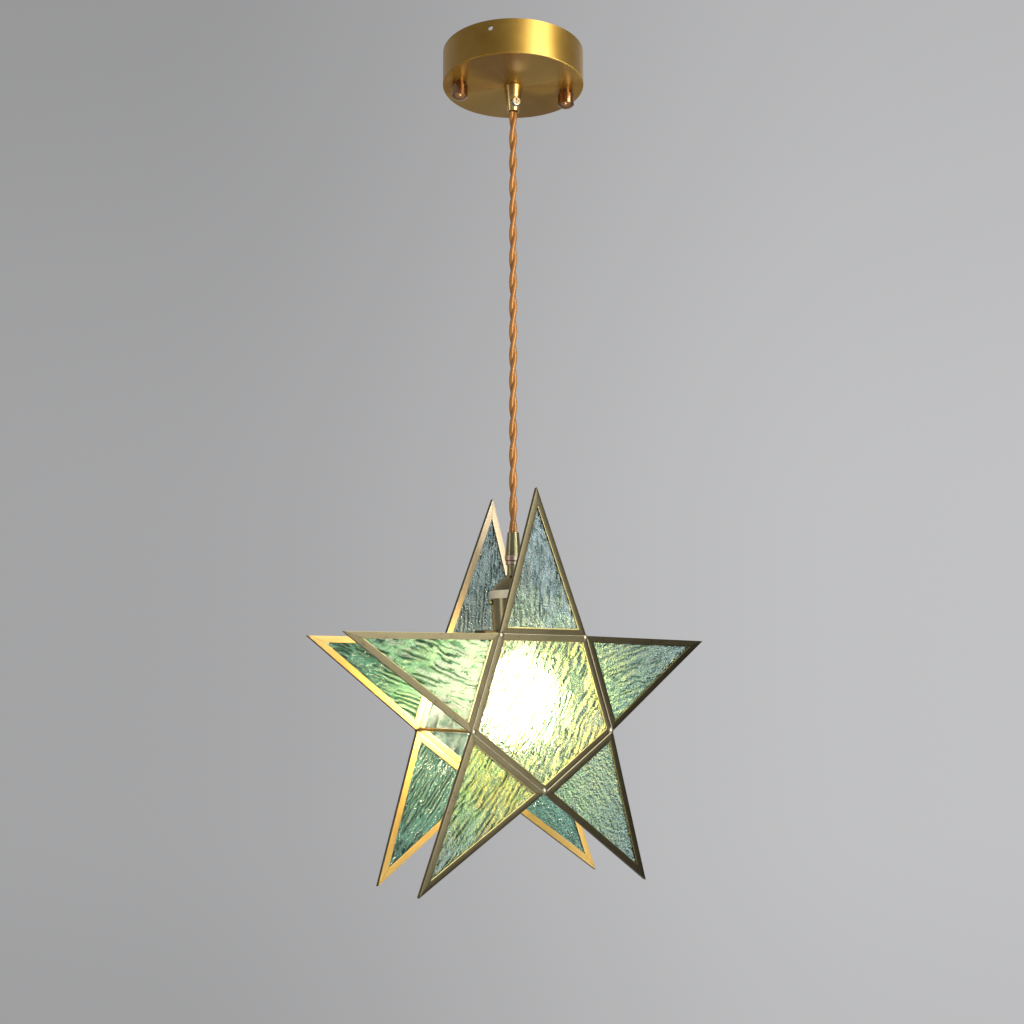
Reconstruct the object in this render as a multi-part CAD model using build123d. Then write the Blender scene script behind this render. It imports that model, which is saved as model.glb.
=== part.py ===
"""Star pendant lamp: a round ceiling canopy, a hanging cord, an E27 lampholder and a lantern of two
five-pointed stars of rippled glass in brass channel, held apart by rods.

Millimetres. +Z is up, the ceiling is the plane Z = 0 and the cord hangs on the Z axis.
The two stars face -Y (front) and +Y (back).
"""
from math import asin, copysign, cos, radians, sin, sqrt
import os

from build123d import *

os.makedirs("parts", exist_ok=True)

# ---------------------------------------------------------------- driving sizes
# canopy
canopy_radius = 60.0
canopy_height = 30.0
canopy_wall = 1.2
canopy_edge_round = 0.8
side_hole_radius = 2.0
side_hole_drop = 7.0
side_hole_angle = 222.0

# strap under the ceiling, with its studs and cap nuts
stud_circle = 92.0
stud_angle = -20.0
stud_radius = 2.0
stud_head_radius = 4.0
stud_head_height = 2.4
stud_thread_in_nut = 8.0
strap_width = 18.0
strap_thickness = 1.5
strap_end = 6.0
strap_bend_inset = 8.0
ceiling_hole_circle = 56.0
ceiling_hole_radius = 2.25
lock_nut_flats = 7.0
lock_nut_height = 3.2
earth_screw_place = 18.5
earth_screw_radius = 1.75
earth_screw_length = 6.0
earth_head_radius = 3.4
earth_head_height = 2.2
cap_nut_radius = 7.0
cap_nut_collar_radius = 5.4
cap_nut_collar_height = 2.6
cap_nut_body_height = 9.6
cap_nut_crown = 2.8
cap_nut_shoulder = 0.7

# three-pole terminal block under the strap
pole_pitch = 8.0
pole_count = 3
block_width = 15.0
block_base_height = 7.0
chimney_radius = 2.9
chimney_height = 5.0
chimney_spread = 4.0
terminal_bore = 1.7
wire_bore = 1.6

# cord and its cores
cord_radius = 3.4
cord_length = 361.3
core_radius = 1.1
core_spread = 1.8
core_bend = 2.4
core_reach = 13.0
core_grip_depth = 3.0

# cord grip under the canopy, and its pinch screw
canopy_grip_length = 22.4
canopy_grip_top_radius = 8.1
canopy_grip_mouth_radius = 5.2
canopy_grip_bevel = 0.5
tail_radius = 4.95
tail_length = 8.5
tail_nut_flats = 14.0
tail_nut_height = 3.0
pinch_drop = 15.4
pinch_angle = 263.0
pinch_radius = 1.95
pinch_seat = 5.4
pinch_head_radius = 4.2
pinch_head_height = 2.3
pinch_cross_width = 0.9
pinch_cross_length = 4.8
pinch_cross_depth = 1.1

# lampholder, from its cord grip down to its rim
holder_grip_length = 19.1
holder_grip_mouth_radius = 4.8
holder_grip_foot_radius = 6.6
holder_grip_socket_depth = 5.0
collar_height = 7.2
collar_radius = 6.9
collar_groove_depth = 0.9
collar_groove_width = 0.6
collar_foot_radius = 6.2
neck_radius = 5.0
neck_wall = 1.15
neck_visible = 8.5
neck_into_dome = 4.5
dome_height = 13.0
dome_top_radius = 5.7
dome_top_step = 0.3
dome_bulge = 0.95
dome_rim_depth = 3.1
shell_wall = 0.9
ring_height = 6.5
ring_radius = 18.8
ring_wall = 0.8
barrel_height = 25.7
barrel_top_radius = 18.3
barrel_foot_radius = 16.4
barrel_foot_round = 0.8
skirt_radius = 15.3
skirt_height = 4.4
barrel_screw_drop = 2.7
barrel_screw_angle = 165.0
barrel_screw_radius = 1.5
barrel_screw_head_radius = 2.2
barrel_screw_head_height = 1.8
insert_radius = 15.3
insert_top_gap = 1.0
insert_boss_radius = 9.0
insert_boss_height = 5.0
screw_shell_radius = 13.9
screw_shell_wall = 0.4
contact_strip = 0.4
contact_strip_width = 4.0
contact_strip_reach = 9.0
shade_ring_radius = 19.5
shade_ring_body_radius = 17.8
shade_ring_flange = 1.2
shade_ring_height = 2.9

# bulb
bulb_length = 108.0
bulb_radius = 30.0
bulb_neck_radius = 14.0
bulb_neck_length = 7.0
bulb_wall = 0.9
bulb_cap_radius = 13.1
bulb_cap_length = 27.0
bulb_contact_radius = 4.6
bulb_contact_height = 1.2
bulb_insulator_radius = 11.4
bulb_insulator_height = 1.8
bulb_drop = 1.0

# star lantern
tip_radius = 170.0
inner_radius = 66.2
star_depth = 95.0
ray_fold = 4.9
frame_depth = 3.6
flange_width = 5.0
channel_wall = 0.6
glass_thickness = 2.0
glass_edge_gap = 0.5
seam_gap = 0.1
rod_radius = 1.3
solder_radius = 2.5
solder_height = 1.1
solder_inset = 1.6
rod_solder_radius = 2.2
rod_solder_height = 2.0

# bracket that carries the lantern on the lampholder
bracket_thickness = 1.2
bracket_rise = 5.8
bracket_width = 16.0
bracket_disc_radius = 21.5
bracket_foot_half = 4.0
bracket_riser_inset = 6.0

# named clearances
bore_clearance = 0.3
thread_clearance = 0.05
turning_gap = 0.1
slip_clearance = 0.15
cord_end_gap = 0.3
mouth_bevel = 0.5
contact_gap = 0.2

# ---------------------------------------------------------------- places worked out from the sizes
canopy_face_z = -canopy_height
canopy_floor_z = canopy_face_z + canopy_wall
cord_top_z = canopy_face_z - canopy_grip_length
cord_foot_z = cord_top_z - cord_length
cord_bore = cord_radius + bore_clearance
holder_grip_foot_z = cord_foot_z - holder_grip_length
collar_foot_z = holder_grip_foot_z - collar_height
dome_top_z = collar_foot_z - neck_visible
ring_top_z = dome_top_z - dome_height
ring_foot_z = ring_top_z - ring_height
shoulder_z = ring_foot_z - barrel_height
rim_z = shoulder_z - skirt_height
ledge_z = shoulder_z + shell_wall
rim_radius = ring_radius - ring_wall - turning_gap
bulb_top_z = ring_foot_z - bulb_drop
insert_ceiling_z = bulb_top_z + contact_gap + contact_strip * 2
insert_top_z = ring_top_z - insert_top_gap

pentagon_apothem = inner_radius * cos(radians(36))
half_base = inner_radius * sin(radians(36))
ray_length = (tip_radius - pentagon_apothem) / cos(radians(ray_fold))
back_of_frame = star_depth / 2 - frame_depth
rod_circle = inner_radius - flange_width / cos(radians(36)) / 2
bracket_top_z = shoulder_z - turning_gap
star_z = bracket_top_z - bracket_rise - rod_radius - rod_circle * sin(radians(54))

strap_joggle = stud_head_height + 0.6
strap_half = stud_circle / 2 + strap_end
strap_end_face_z = -strap_joggle - strap_thickness
block_foot_z = -strap_thickness - block_base_height


# ---------------------------------------------------------------- helpers
def save(name, shape):
    """Write one node's STEP file, and say its volume."""
    export_step(shape, f"parts/{name}.step")
    print(f"{name:24s} {shape.volume / 1000:9.3f} cm3")


def group(pieces):
    """Several separate solids as one node."""
    return Compound(children=list(pieces))


def turned(*points):
    """Solid of revolution about Z. Each point is (radius, height); the outline closes itself."""
    outline = Polyline(*[(radius, 0, height) for radius, height in points], close=True)
    return revolve(make_face(outline), axis=Axis.Z)


def tube(outer, inner, low, high):
    """Round tube about Z between two heights."""
    return turned((inner, low), (outer, low), (outer, high), (inner, high))


def rod(radius, low, high):
    """Round bar about Z between two heights."""
    return Pos(0, 0, low) * extrude(Circle(radius), high - low)


def crown(radius, base, rise):
    """Arc from a rim to the axis, part of a ball centred on the axis; rise is negative downwards."""
    ball = (radius ** 2 + rise ** 2) / (2 * abs(rise))
    half = asin(radius / ball) / 2
    centre = base + rise - copysign(ball, rise)
    middle = (ball * sin(half), 0, centre + copysign(ball * cos(half), rise))
    return ThreePointArc((radius, 0, base), middle, (0, 0, base + rise))


def hexagon(flats, low, high):
    """Hexagonal bar about Z between two heights."""
    return Pos(0, 0, low) * extrude(RegularPolygon(flats / 2, 6, major_radius=False), high - low)


def prism(points, height):
    """Upright prism on a flat outline."""
    return extrude(make_face(Polyline(*points, close=True)), height)


def radial(angle, height):
    """Place whose +Z points outwards from the cord, at an angle about it and a height."""
    return Rot(0, 0, angle) * Pos(0, 0, height) * Rot(0, 90, 0)


def inset(points, centre, inradius, distance):
    """Corners of an outline that has an inscribed circle, moved in so that its sides shift by distance."""
    share = 1 - distance / inradius
    return [(centre[0] + (x - centre[0]) * share, centre[1] + (y - centre[1]) * share) for x, y in points]


def on_strap(along, across=0.0, height=0.0):
    """Place on the strap: along it, across it and at a height."""
    return Rot(0, 0, stud_angle) * Pos(along, across, height)


# ---------------------------------------------------------------- ceiling strap
def ceiling_crossbar():
    """Strap with both ends bent down, so that the studs' heads clear the ceiling."""
    bend = stud_circle / 2 - strap_bend_inset
    top = [(-strap_half, -strap_joggle), (-bend, -strap_joggle), (-bend + strap_joggle, 0),
           (bend - strap_joggle, 0), (bend, -strap_joggle), (strap_half, -strap_joggle)]
    under = [(along, height - strap_thickness) for along, height in reversed(top)]
    outline = make_face(Polyline(*[(along, 0, height) for along, height in top + under], close=True))
    strap = Pos(0, strap_width / 2, 0) * extrude(outline, strap_width, dir=(0, -1, 0))
    low, high = strap_end_face_z - 1, 1
    for side in (-1, 1):
        strap -= Pos(side * stud_circle / 2, 0, 0) * rod(stud_radius + thread_clearance, low, high)
        strap -= Pos(side * ceiling_hole_circle / 2, 0, 0) * rod(ceiling_hole_radius, low, high)
    strap -= Pos(-earth_screw_place, 0, 0) * rod(earth_screw_radius + thread_clearance, low, high)
    return Rot(0, 0, stud_angle) * strap


def canopy_stud():
    """Pan-head screw that stands down through the strap and the canopy."""
    shank = rod(stud_radius, canopy_face_z - turning_gap - stud_thread_in_nut, -strap_joggle)
    head = rod(stud_head_radius, -strap_joggle, -strap_joggle + stud_head_height)
    return shank + head


def stud_lock_nut():
    """Hex nut under the strap's end."""
    nut = hexagon(lock_nut_flats, strap_end_face_z - lock_nut_height, strap_end_face_z)
    return nut - rod(stud_radius + thread_clearance, canopy_face_z, 0)


def earth_screw():
    """Screw up through the strap, its head below."""
    seat = -strap_thickness
    head = rod(earth_head_radius, seat - earth_head_height, seat)
    slot = Pos(0, 0, seat - earth_head_height) * Box(2 * earth_head_radius, 0.9, 1.6)
    shank = rod(earth_screw_radius, seat - earth_head_height / 2, min(seat + earth_screw_length, -0.2))
    return head - slot + shank


def terminal_block():
    """Row of poles, each with two screw chimneys and a wire hole right through."""
    length = pole_pitch * pole_count
    block = Pos(0, 0, -strap_thickness - block_base_height / 2) * Box(length, block_width, block_base_height)
    for pole in range(pole_count):
        along = (pole - (pole_count - 1) / 2) * pole_pitch
        for across in (-chimney_spread, chimney_spread):
            place = Pos(along, across, 0)
            block += place * rod(chimney_radius, block_foot_z - chimney_height, block_foot_z)
            block -= place * rod(terminal_bore, block_foot_z - chimney_height - 1, -strap_thickness - 1.5)
        hole = Cylinder(wire_bore, block_width + 2, rotation=(90, 0, 0))
        block -= Pos(along, 0, -strap_thickness - block_base_height / 2) * hole
    return Rot(0, 0, stud_angle) * block


# ---------------------------------------------------------------- canopy
def canopy_cup():
    """Turned cup, open to the ceiling, with holes for the grip, the studs and one in its side."""
    cup = rod(canopy_radius, canopy_face_z, 0)
    cup = fillet(cup.edges().sort_by(Axis.Z)[0], canopy_edge_round)
    cup -= rod(canopy_radius - canopy_wall, canopy_floor_z, 1)
    cup -= rod(tail_radius + slip_clearance, canopy_face_z - 1, canopy_floor_z + 1)
    for side in (-1, 1):
        place = on_strap(side * stud_circle / 2)
        cup -= place * rod(stud_radius + bore_clearance, canopy_face_z - 1, canopy_floor_z + 1)
    hole = rod(side_hole_radius, canopy_radius - 2 * canopy_wall, canopy_radius + 1)
    return cup - radial(side_hole_angle, -side_hole_drop) * hole


def cap_nut():
    """Round nut: a narrow collar, a cylinder and a crowned end, threaded blind from above."""
    top = canopy_face_z - turning_gap
    neck = top - cap_nut_collar_height
    rim = neck - cap_nut_body_height
    radius, shoulder = cap_nut_radius, cap_nut_shoulder
    side = Polyline((0, 0, top), (cap_nut_collar_radius, 0, top), (cap_nut_collar_radius, 0, neck),
                    (radius - shoulder, 0, neck), (radius, 0, neck - shoulder), (radius, 0, rim))
    end = crown(radius, rim, -cap_nut_crown)
    nut = revolve(make_face([*side.edges(), end, Line(end @ 1, (0, 0, top))]), axis=Axis.Z)
    return nut - rod(stud_radius + thread_clearance, top - stud_thread_in_nut - 1, top + 1)


def canopy_cord_grip():
    """Tapered grip: its tail goes up through the canopy, the cord comes out of its mouth."""
    grip = turned(
        (cord_bore, canopy_face_z + tail_length), (tail_radius, canopy_face_z + tail_length),
        (tail_radius, canopy_face_z), (canopy_grip_top_radius - canopy_grip_bevel, canopy_face_z),
        (canopy_grip_top_radius, canopy_face_z - canopy_grip_bevel),
        (canopy_grip_mouth_radius, cord_top_z), (cord_bore + mouth_bevel, cord_top_z),
        (cord_bore, cord_top_z + mouth_bevel))
    place = radial(pinch_angle, canopy_face_z - pinch_drop)
    grip -= place * rod(pinch_radius + thread_clearance, 0, canopy_radius / 2)
    return grip - place * rod(pinch_head_radius + slip_clearance, pinch_seat, canopy_radius / 2)


def grip_lock_nut():
    """Hex nut on the grip's tail, inside the canopy."""
    nut = hexagon(tail_nut_flats, canopy_floor_z, canopy_floor_z + tail_nut_height)
    return nut - rod(tail_radius + thread_clearance, canopy_floor_z - 1, canopy_floor_z + tail_nut_height + 1)


def grip_screw():
    """Cross-head screw that pinches the cord inside the grip."""
    crown = pinch_seat + pinch_head_height
    screw = rod(pinch_radius, cord_radius + thread_clearance, pinch_seat)
    head = rod(pinch_head_radius, pinch_seat, crown)
    head = fillet(head.edges().sort_by(Axis.Z)[-1], pinch_head_height * 0.45)
    screw += head
    for turn in (0, 90):
        slot = Box(pinch_cross_length, pinch_cross_width, 2 * pinch_cross_depth, rotation=(0, 0, turn))
        screw -= Pos(0, 0, crown) * slot
    return radial(pinch_angle, canopy_face_z - pinch_drop) * screw


# ---------------------------------------------------------------- cord
def lead_core(side):
    """One core from the cord's end in the canopy, round into its pole of the terminal block."""
    start = canopy_face_z + tail_length + 1.0
    level = start + 2.9
    entry = -strap_thickness - block_base_height / 2
    pole = side * pole_pitch
    path = FilletPolyline(
        (side * core_spread, 0, start), (side * core_spread, 0, level), (pole, core_reach, level),
        (pole, core_reach, entry), (pole, block_width / 2 - core_grip_depth, entry), radius=core_bend)
    core = sweep(Plane(path @ 0, z_dir=path % 0) * Circle(core_radius), path=path)
    return Rot(0, 0, stud_angle) * core


def canopy_lead():
    """The cord's end inside grip and canopy, with its two cores."""
    stub = rod(cord_radius, cord_top_z + cord_radius + cord_end_gap, canopy_face_z + tail_length + 1.0)
    return group([stub, lead_core(-1), lead_core(1)])


def pendant_cord():
    """The free stretch of cord, round-ended where it turns in the two grips' mouths."""
    ends = [Pos(0, 0, height) * Sphere(cord_radius) for height in (cord_top_z, cord_foot_z)]
    return rod(cord_radius, cord_foot_z, cord_top_z) + ends[0] + ends[1]


def lampholder_lead():
    """The cord's end inside the lampholder, with its two cores down to the terminals."""
    foot = dome_top_z - neck_into_dome - 0.5
    stub = rod(cord_radius, foot, cord_foot_z - cord_radius - cord_end_gap)
    boss_top = insert_top_z + insert_boss_height
    cores = [Pos(side * core_spread, 0, 0) * rod(core_radius, boss_top, foot) for side in (-1, 1)]
    return group([stub, *cores])


# ---------------------------------------------------------------- lampholder
def lampholder_grip():
    """Tapered grip with the cord's mouth on top and a threaded socket below."""
    shelf = holder_grip_foot_z + holder_grip_socket_depth
    socket = neck_radius + thread_clearance
    return turned(
        (cord_bore, cord_foot_z - mouth_bevel), (cord_bore + mouth_bevel, cord_foot_z),
        (holder_grip_mouth_radius, cord_foot_z), (holder_grip_foot_radius, holder_grip_foot_z),
        (socket, holder_grip_foot_z), (socket, shelf), (cord_bore, shelf))


def locking_collar():
    """Grooved ring screwed up against the grip."""
    bore = neck_radius + thread_clearance
    groove_top = holder_grip_foot_z - collar_height * 0.56
    groove_foot = groove_top - collar_groove_width
    groove = collar_radius - collar_groove_depth
    return turned(
        (bore, holder_grip_foot_z), (collar_radius, holder_grip_foot_z), (collar_radius, groove_top),
        (groove, groove_top), (groove, groove_foot), (collar_foot_radius, groove_foot),
        (collar_foot_radius, collar_foot_z), (bore, collar_foot_z))


def neck_tube():
    """Threaded tube from the grip's socket down into the dome."""
    high = holder_grip_foot_z + holder_grip_socket_depth
    return tube(neck_radius, neck_radius - neck_wall, dome_top_z - neck_into_dome, high)


def dome_arc(shift):
    """Side of the dome between its top and the ring, moved inwards by shift."""
    start = Vector(dome_top_radius, 0, dome_top_z - dome_top_step)
    end = Vector(rim_radius, 0, ring_top_z)
    across = (end - start).normalized()
    outward = Vector(-across.Z, 0, across.X)
    middle = (start + end) / 2 + outward * dome_bulge
    return [point - outward * shift for point in (start, middle, end)]


def socket_dome():
    """Flared cap with a rim that goes down inside the ring."""
    outer, inner = dome_arc(0), dome_arc(shell_wall)
    foot = ring_top_z - dome_rim_depth
    hole = neck_radius + thread_clearance
    inner_rim = rim_radius - shell_wall
    roof = dome_top_z - dome_top_step - shell_wall
    edges = [
        ThreePointArc(*outer),
        Polyline(outer[2], (rim_radius, 0, foot), (inner_rim, 0, foot), (inner_rim, 0, inner[2].Z), inner[2]),
        ThreePointArc(inner[2], inner[1], inner[0]),
        Polyline(inner[0], (hole, 0, min(roof, inner[0].Z - 0.1)), (hole, 0, dome_top_z),
                 (dome_top_radius, 0, dome_top_z), outer[0]),
    ]
    return revolve(make_face([edge for line in edges for edge in line.edges()]), axis=Axis.Z)


def socket_ring():
    """Polished band over the joint between dome and barrel."""
    band = tube(ring_radius, ring_radius - ring_wall, ring_foot_z, ring_top_z)
    rims = [edge for edge in band.edges().filter_by(GeomType.CIRCLE) if edge.radius > ring_radius - 0.01]
    return chamfer(rims, ring_wall * 0.35)


def socket_barrel():
    """Tapered barrel with a rim inside the ring, and a threaded skirt below its shoulder."""
    foot = barrel_foot_radius
    barrel = turned(
        (rim_radius - shell_wall, ring_foot_z + dome_rim_depth), (rim_radius, ring_foot_z + dome_rim_depth),
        (rim_radius, ring_foot_z), (barrel_top_radius, ring_foot_z), (foot, shoulder_z + barrel_foot_round),
        (foot - barrel_foot_round, shoulder_z), (skirt_radius, shoulder_z), (skirt_radius, rim_z),
        (skirt_radius - shell_wall, rim_z), (skirt_radius - shell_wall, ledge_z),
        (foot - shell_wall, ledge_z), (rim_radius - shell_wall, ring_foot_z))
    hole = rod(barrel_screw_radius + thread_clearance, insert_radius, ring_radius + 2)
    return barrel - radial(barrel_screw_angle, ring_foot_z - barrel_screw_drop) * hole


def barrel_screw():
    """Small screw in the barrel's side, just under the ring."""
    share = (barrel_screw_drop - barrel_screw_head_radius) / barrel_height
    seat = barrel_top_radius + (barrel_foot_radius - barrel_top_radius) * share + turning_gap
    shank = rod(barrel_screw_radius, insert_radius + turning_gap, seat)
    head = rod(barrel_screw_head_radius, seat, seat + barrel_screw_head_height)
    return radial(barrel_screw_angle, ring_foot_z - barrel_screw_drop) * (shank + head)


def porcelain_insert():
    """Ceramic body: a bore for the screw shell, a ceiling for the contact and a boss for the terminals."""
    bore = screw_shell_radius + turning_gap
    boss_top = insert_top_z + insert_boss_height
    return turned(
        (bore, ledge_z), (insert_radius, ledge_z), (insert_radius, insert_top_z),
        (insert_boss_radius, insert_top_z), (insert_boss_radius, boss_top), (0, boss_top),
        (0, insert_ceiling_z), (bore, insert_ceiling_z))


def screw_shell():
    """Screw shell with a small inward flange against the ceramic ceiling."""
    inner = screw_shell_radius - screw_shell_wall
    foot = bulb_top_z - bulb_cap_length + contact_gap + screw_shell_wall
    flange = contact_strip_reach + 1.5
    return turned(
        (inner, foot), (screw_shell_radius, foot), (screw_shell_radius, insert_ceiling_z),
        (flange, insert_ceiling_z), (flange, insert_ceiling_z - screw_shell_wall),
        (inner, insert_ceiling_z - screw_shell_wall))


def centre_contact():
    """Spring strip on the ceramic ceiling, bent down to the bulb's contact."""
    top, low = insert_ceiling_z, bulb_top_z + contact_gap
    reach, bend = contact_strip_reach, contact_strip_reach * 0.55
    outline = make_face(Polyline(
        (-reach, 0, top), (-reach, 0, top - contact_strip), (-bend, 0, top - contact_strip),
        (0, 0, low), (bend * 0.4, 0, low), (bend * 0.4, 0, low + contact_strip * 0.9),
        (0, 0, low + contact_strip * 0.9), (-bend, 0, top), close=True))
    return Pos(0, contact_strip_width / 2, 0) * extrude(outline, contact_strip_width, dir=(0, -1, 0))


def shade_ring():
    """Flanged ring nut on the skirt, under the lantern's bracket."""
    top = bracket_top_z - bracket_thickness - turning_gap
    bore = skirt_radius + thread_clearance
    foot = top - shade_ring_height
    return turned(
        (bore, top), (shade_ring_radius, top), (shade_ring_radius, top - shade_ring_flange),
        (shade_ring_body_radius, top - shade_ring_flange), (shade_ring_body_radius, foot), (bore, foot))


# ---------------------------------------------------------------- bulb
def bulb_outline(shift):
    """Outline of the glass, moved inwards by shift: neck, hollow flare and round end."""
    radius, neck = bulb_radius - shift, bulb_neck_radius - shift
    centre = bulb_top_z - bulb_length + bulb_radius
    top = bulb_top_z - bulb_cap_length - shift
    straight = bulb_top_z - bulb_cap_length - bulb_neck_length
    rise = straight - centre
    flare = (rise ** 2 - bulb_radius ** 2 + bulb_neck_radius ** 2) / (2 * (bulb_radius - bulb_neck_radius))
    flare += shift
    reach = radius + flare
    away = Vector(neck + flare, 0, rise) / reach
    touch = Vector(0, 0, centre) + away * radius
    bend = Vector(neck + flare, 0, straight)
    middle = bend + ((touch + Vector(neck, 0, straight)) / 2 - bend).normalized() * flare
    side = (away + Vector(0, 0, -1)).normalized() * radius + Vector(0, 0, centre)
    return make_face([
        Line((0, 0, top), (neck, 0, top)), Line((neck, 0, top), (neck, 0, straight)),
        ThreePointArc((neck, 0, straight), middle, touch),
        ThreePointArc(touch, side, (0, 0, centre - radius)), Line((0, 0, centre - radius), (0, 0, top))])


def bulb_globe():
    """Hollow glass of the bulb."""
    return revolve(bulb_outline(0), axis=Axis.Z) - revolve(bulb_outline(bulb_wall), axis=Axis.Z)


def bulb_screw_cap():
    """Thin metal cap, open at the glass and at the insulator."""
    high = bulb_top_z - bulb_contact_height - bulb_insulator_height
    low = bulb_top_z - bulb_cap_length
    return tube(bulb_cap_radius, bulb_cap_radius - shell_wall, low, high)


def bulb_contact():
    """Insulator cone and contact button on the cap's end."""
    top = bulb_top_z - bulb_contact_height
    foot = top - bulb_insulator_height
    return turned(
        (0, bulb_top_z), (bulb_contact_radius, bulb_top_z), (bulb_contact_radius, top),
        (bulb_contact_radius + 1, top), (bulb_insulator_radius, foot),
        (bulb_cap_radius - shell_wall / 2, foot), (bulb_cap_radius - shell_wall / 2, foot + 0.01), (0, foot))


# ---------------------------------------------------------------- star lantern
def corner_angle(number):
    """Angle of a ray's tip; the inner corner after it is 36 degrees on, clockwise from the front."""
    return 90 - 72 * (number - 1)


def pentagon_plane(side):
    """Plane on the inner side of a star's pentagon frame; side is -1 in front and 1 behind."""
    return Plane((0, side * back_of_frame, star_z), x_dir=(-side, 0, 0), z_dir=(0, side, 0))


def ray_plane(side, number):
    """Plane of a ray frame's inner side, folded back about the pentagon's edge; local Y points to the tip."""
    angle, fold = radians(corner_angle(number)), radians(ray_fold)
    outward, normal = Vector(cos(angle), 0, sin(angle)), Vector(0, side, 0)
    along = outward * cos(fold) - normal * sin(fold)
    facing = normal * cos(fold) + outward * sin(fold)
    start = Vector(0, 0, star_z) + outward * (pentagon_apothem + seam_gap) + normal * back_of_frame
    return Plane(start, x_dir=along.cross(facing), z_dir=facing)


def pentagon():
    """Corners of the pentagon pane's channel, its centre and its inscribed circle."""
    turns = [radians(54 + 72 * step) for step in range(5)]
    return [(inner_radius * cos(turn), inner_radius * sin(turn)) for turn in turns], (0, 0), pentagon_apothem


def triangle():
    """Corners of a ray pane's channel, with its centre and inscribed circle."""
    side = sqrt(half_base ** 2 + ray_length ** 2)
    inradius = half_base * ray_length / (half_base + side)
    return [(-half_base, 0), (half_base, 0), (0, ray_length)], (0, inradius), inradius


def channel_frame(corners, centre, inradius):
    """Mitred frame of U-channel, open inwards for the edge of the glass."""
    frame = prism(corners, frame_depth)
    frame -= prism(inset(corners, centre, inradius, flange_width), frame_depth)
    groove = prism(inset(corners, centre, inradius, channel_wall), frame_depth - 2 * channel_wall)
    return frame - Pos(0, 0, channel_wall) * groove


def pane(corners, centre, inradius):
    """Glass whose edge stands in the channel."""
    edge = inset(corners, centre, inradius, channel_wall + glass_edge_gap)
    return Pos(0, 0, (frame_depth - glass_thickness) / 2) * prism(edge, glass_thickness)


def at_inner_corner(number, radius, y, facing):
    """Place at an inner corner of the star, its +Z along Y (facing 1) or -Y (facing -1)."""
    angle = radians(corner_angle(number) - 36)
    return Pos(radius * cos(angle), y, star_z + radius * sin(angle)) * Rot(-90 * facing, 0, 0)


def solder_blobs(side):
    """Domed solder on the outside of a star's five inner corners."""
    dome = crown(solder_radius, 0, solder_height)
    base = Polyline(dome @ 1, (0, 0, 0), dome @ 0)
    blob = revolve(make_face([dome, *base.edges()]), axis=Axis.Z)
    reach = inner_radius - solder_inset
    return group(at_inner_corner(n, reach, side * star_depth / 2, side) * blob for n in range(1, 6))


def spacer_rods():
    """Five rods between the two stars, one at each inner corner."""
    bar = rod(rod_radius, 0, 2 * back_of_frame)
    return group(at_inner_corner(n, rod_circle, -back_of_frame, 1) * bar for n in range(1, 6))


def rod_solder():
    """Solder cones round both ends of each rod."""
    bore = rod_radius + thread_clearance
    cone = turned((bore, 0), (rod_solder_radius, 0), (rod_solder_radius, rod_solder_height * 0.4),
                  (bore + 0.25, rod_solder_height), (bore, rod_solder_height))
    return group(at_inner_corner(n, rod_circle, side * back_of_frame, -side) * cone
                 for n in range(1, 6) for side in (-1, 1))


def shade_bracket():
    """Hat-shaped strap on the two upper rods, with a round plate and the lampholder's hole."""
    rod_x = rod_circle * cos(radians(54))
    foot_z = bracket_top_z - bracket_rise
    riser, end = rod_x - bracket_riser_inset, rod_x + bracket_foot_half
    under = bracket_top_z - bracket_thickness
    right = [(riser, bracket_top_z), (riser, foot_z + bracket_thickness), (end, foot_z + bracket_thickness),
             (end, foot_z), (riser - bracket_thickness, foot_z), (riser - bracket_thickness, under)]
    left = [(-x, z) for x, z in reversed(right)]
    outline = make_face(Polyline(*[(x, 0, z) for x, z in right + left], close=True))
    strap = Pos(0, bracket_width / 2, 0) * extrude(outline, bracket_width, dir=(0, -1, 0))
    strap += rod(bracket_disc_radius, under, bracket_top_z)
    return strap - rod(skirt_radius + bore_clearance, under - 1, bracket_top_z + 1)


# ---------------------------------------------------------------- every node
save("ceiling_crossbar", ceiling_crossbar())
save("canopy_studs", group(on_strap(side * stud_circle / 2) * canopy_stud() for side in (-1, 1)))
save("stud_lock_nuts", group(on_strap(side * stud_circle / 2) * stud_lock_nut() for side in (-1, 1)))
save("earth_screw", on_strap(-earth_screw_place) * earth_screw())
save("terminal_block", terminal_block())
save("canopy_lead", canopy_lead())
save("canopy_cup", canopy_cup())
save("cap_nut_left", on_strap(-stud_circle / 2) * cap_nut())
save("cap_nut_right", on_strap(stud_circle / 2) * cap_nut())
save("canopy_cord_grip", canopy_cord_grip())
save("grip_lock_nut", grip_lock_nut())
save("grip_screw", grip_screw())
save("pendant_cord", pendant_cord())
save("lampholder_grip", lampholder_grip())
save("locking_collar", locking_collar())
save("neck_tube", neck_tube())
save("lampholder_lead", lampholder_lead())
save("socket_dome", socket_dome())
save("socket_ring", socket_ring())
save("socket_barrel", socket_barrel())
save("barrel_screw", barrel_screw())
save("porcelain_insert", porcelain_insert())
save("screw_shell", screw_shell())
save("centre_contact", centre_contact())
save("shade_ring", shade_ring())
save("bulb_globe", bulb_globe())
save("bulb_screw_cap", bulb_screw_cap())
save("bulb_contact", bulb_contact())
save("shade_bracket", shade_bracket())
save("spacer_rods", spacer_rods())
save("rod_solder", rod_solder())

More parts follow.
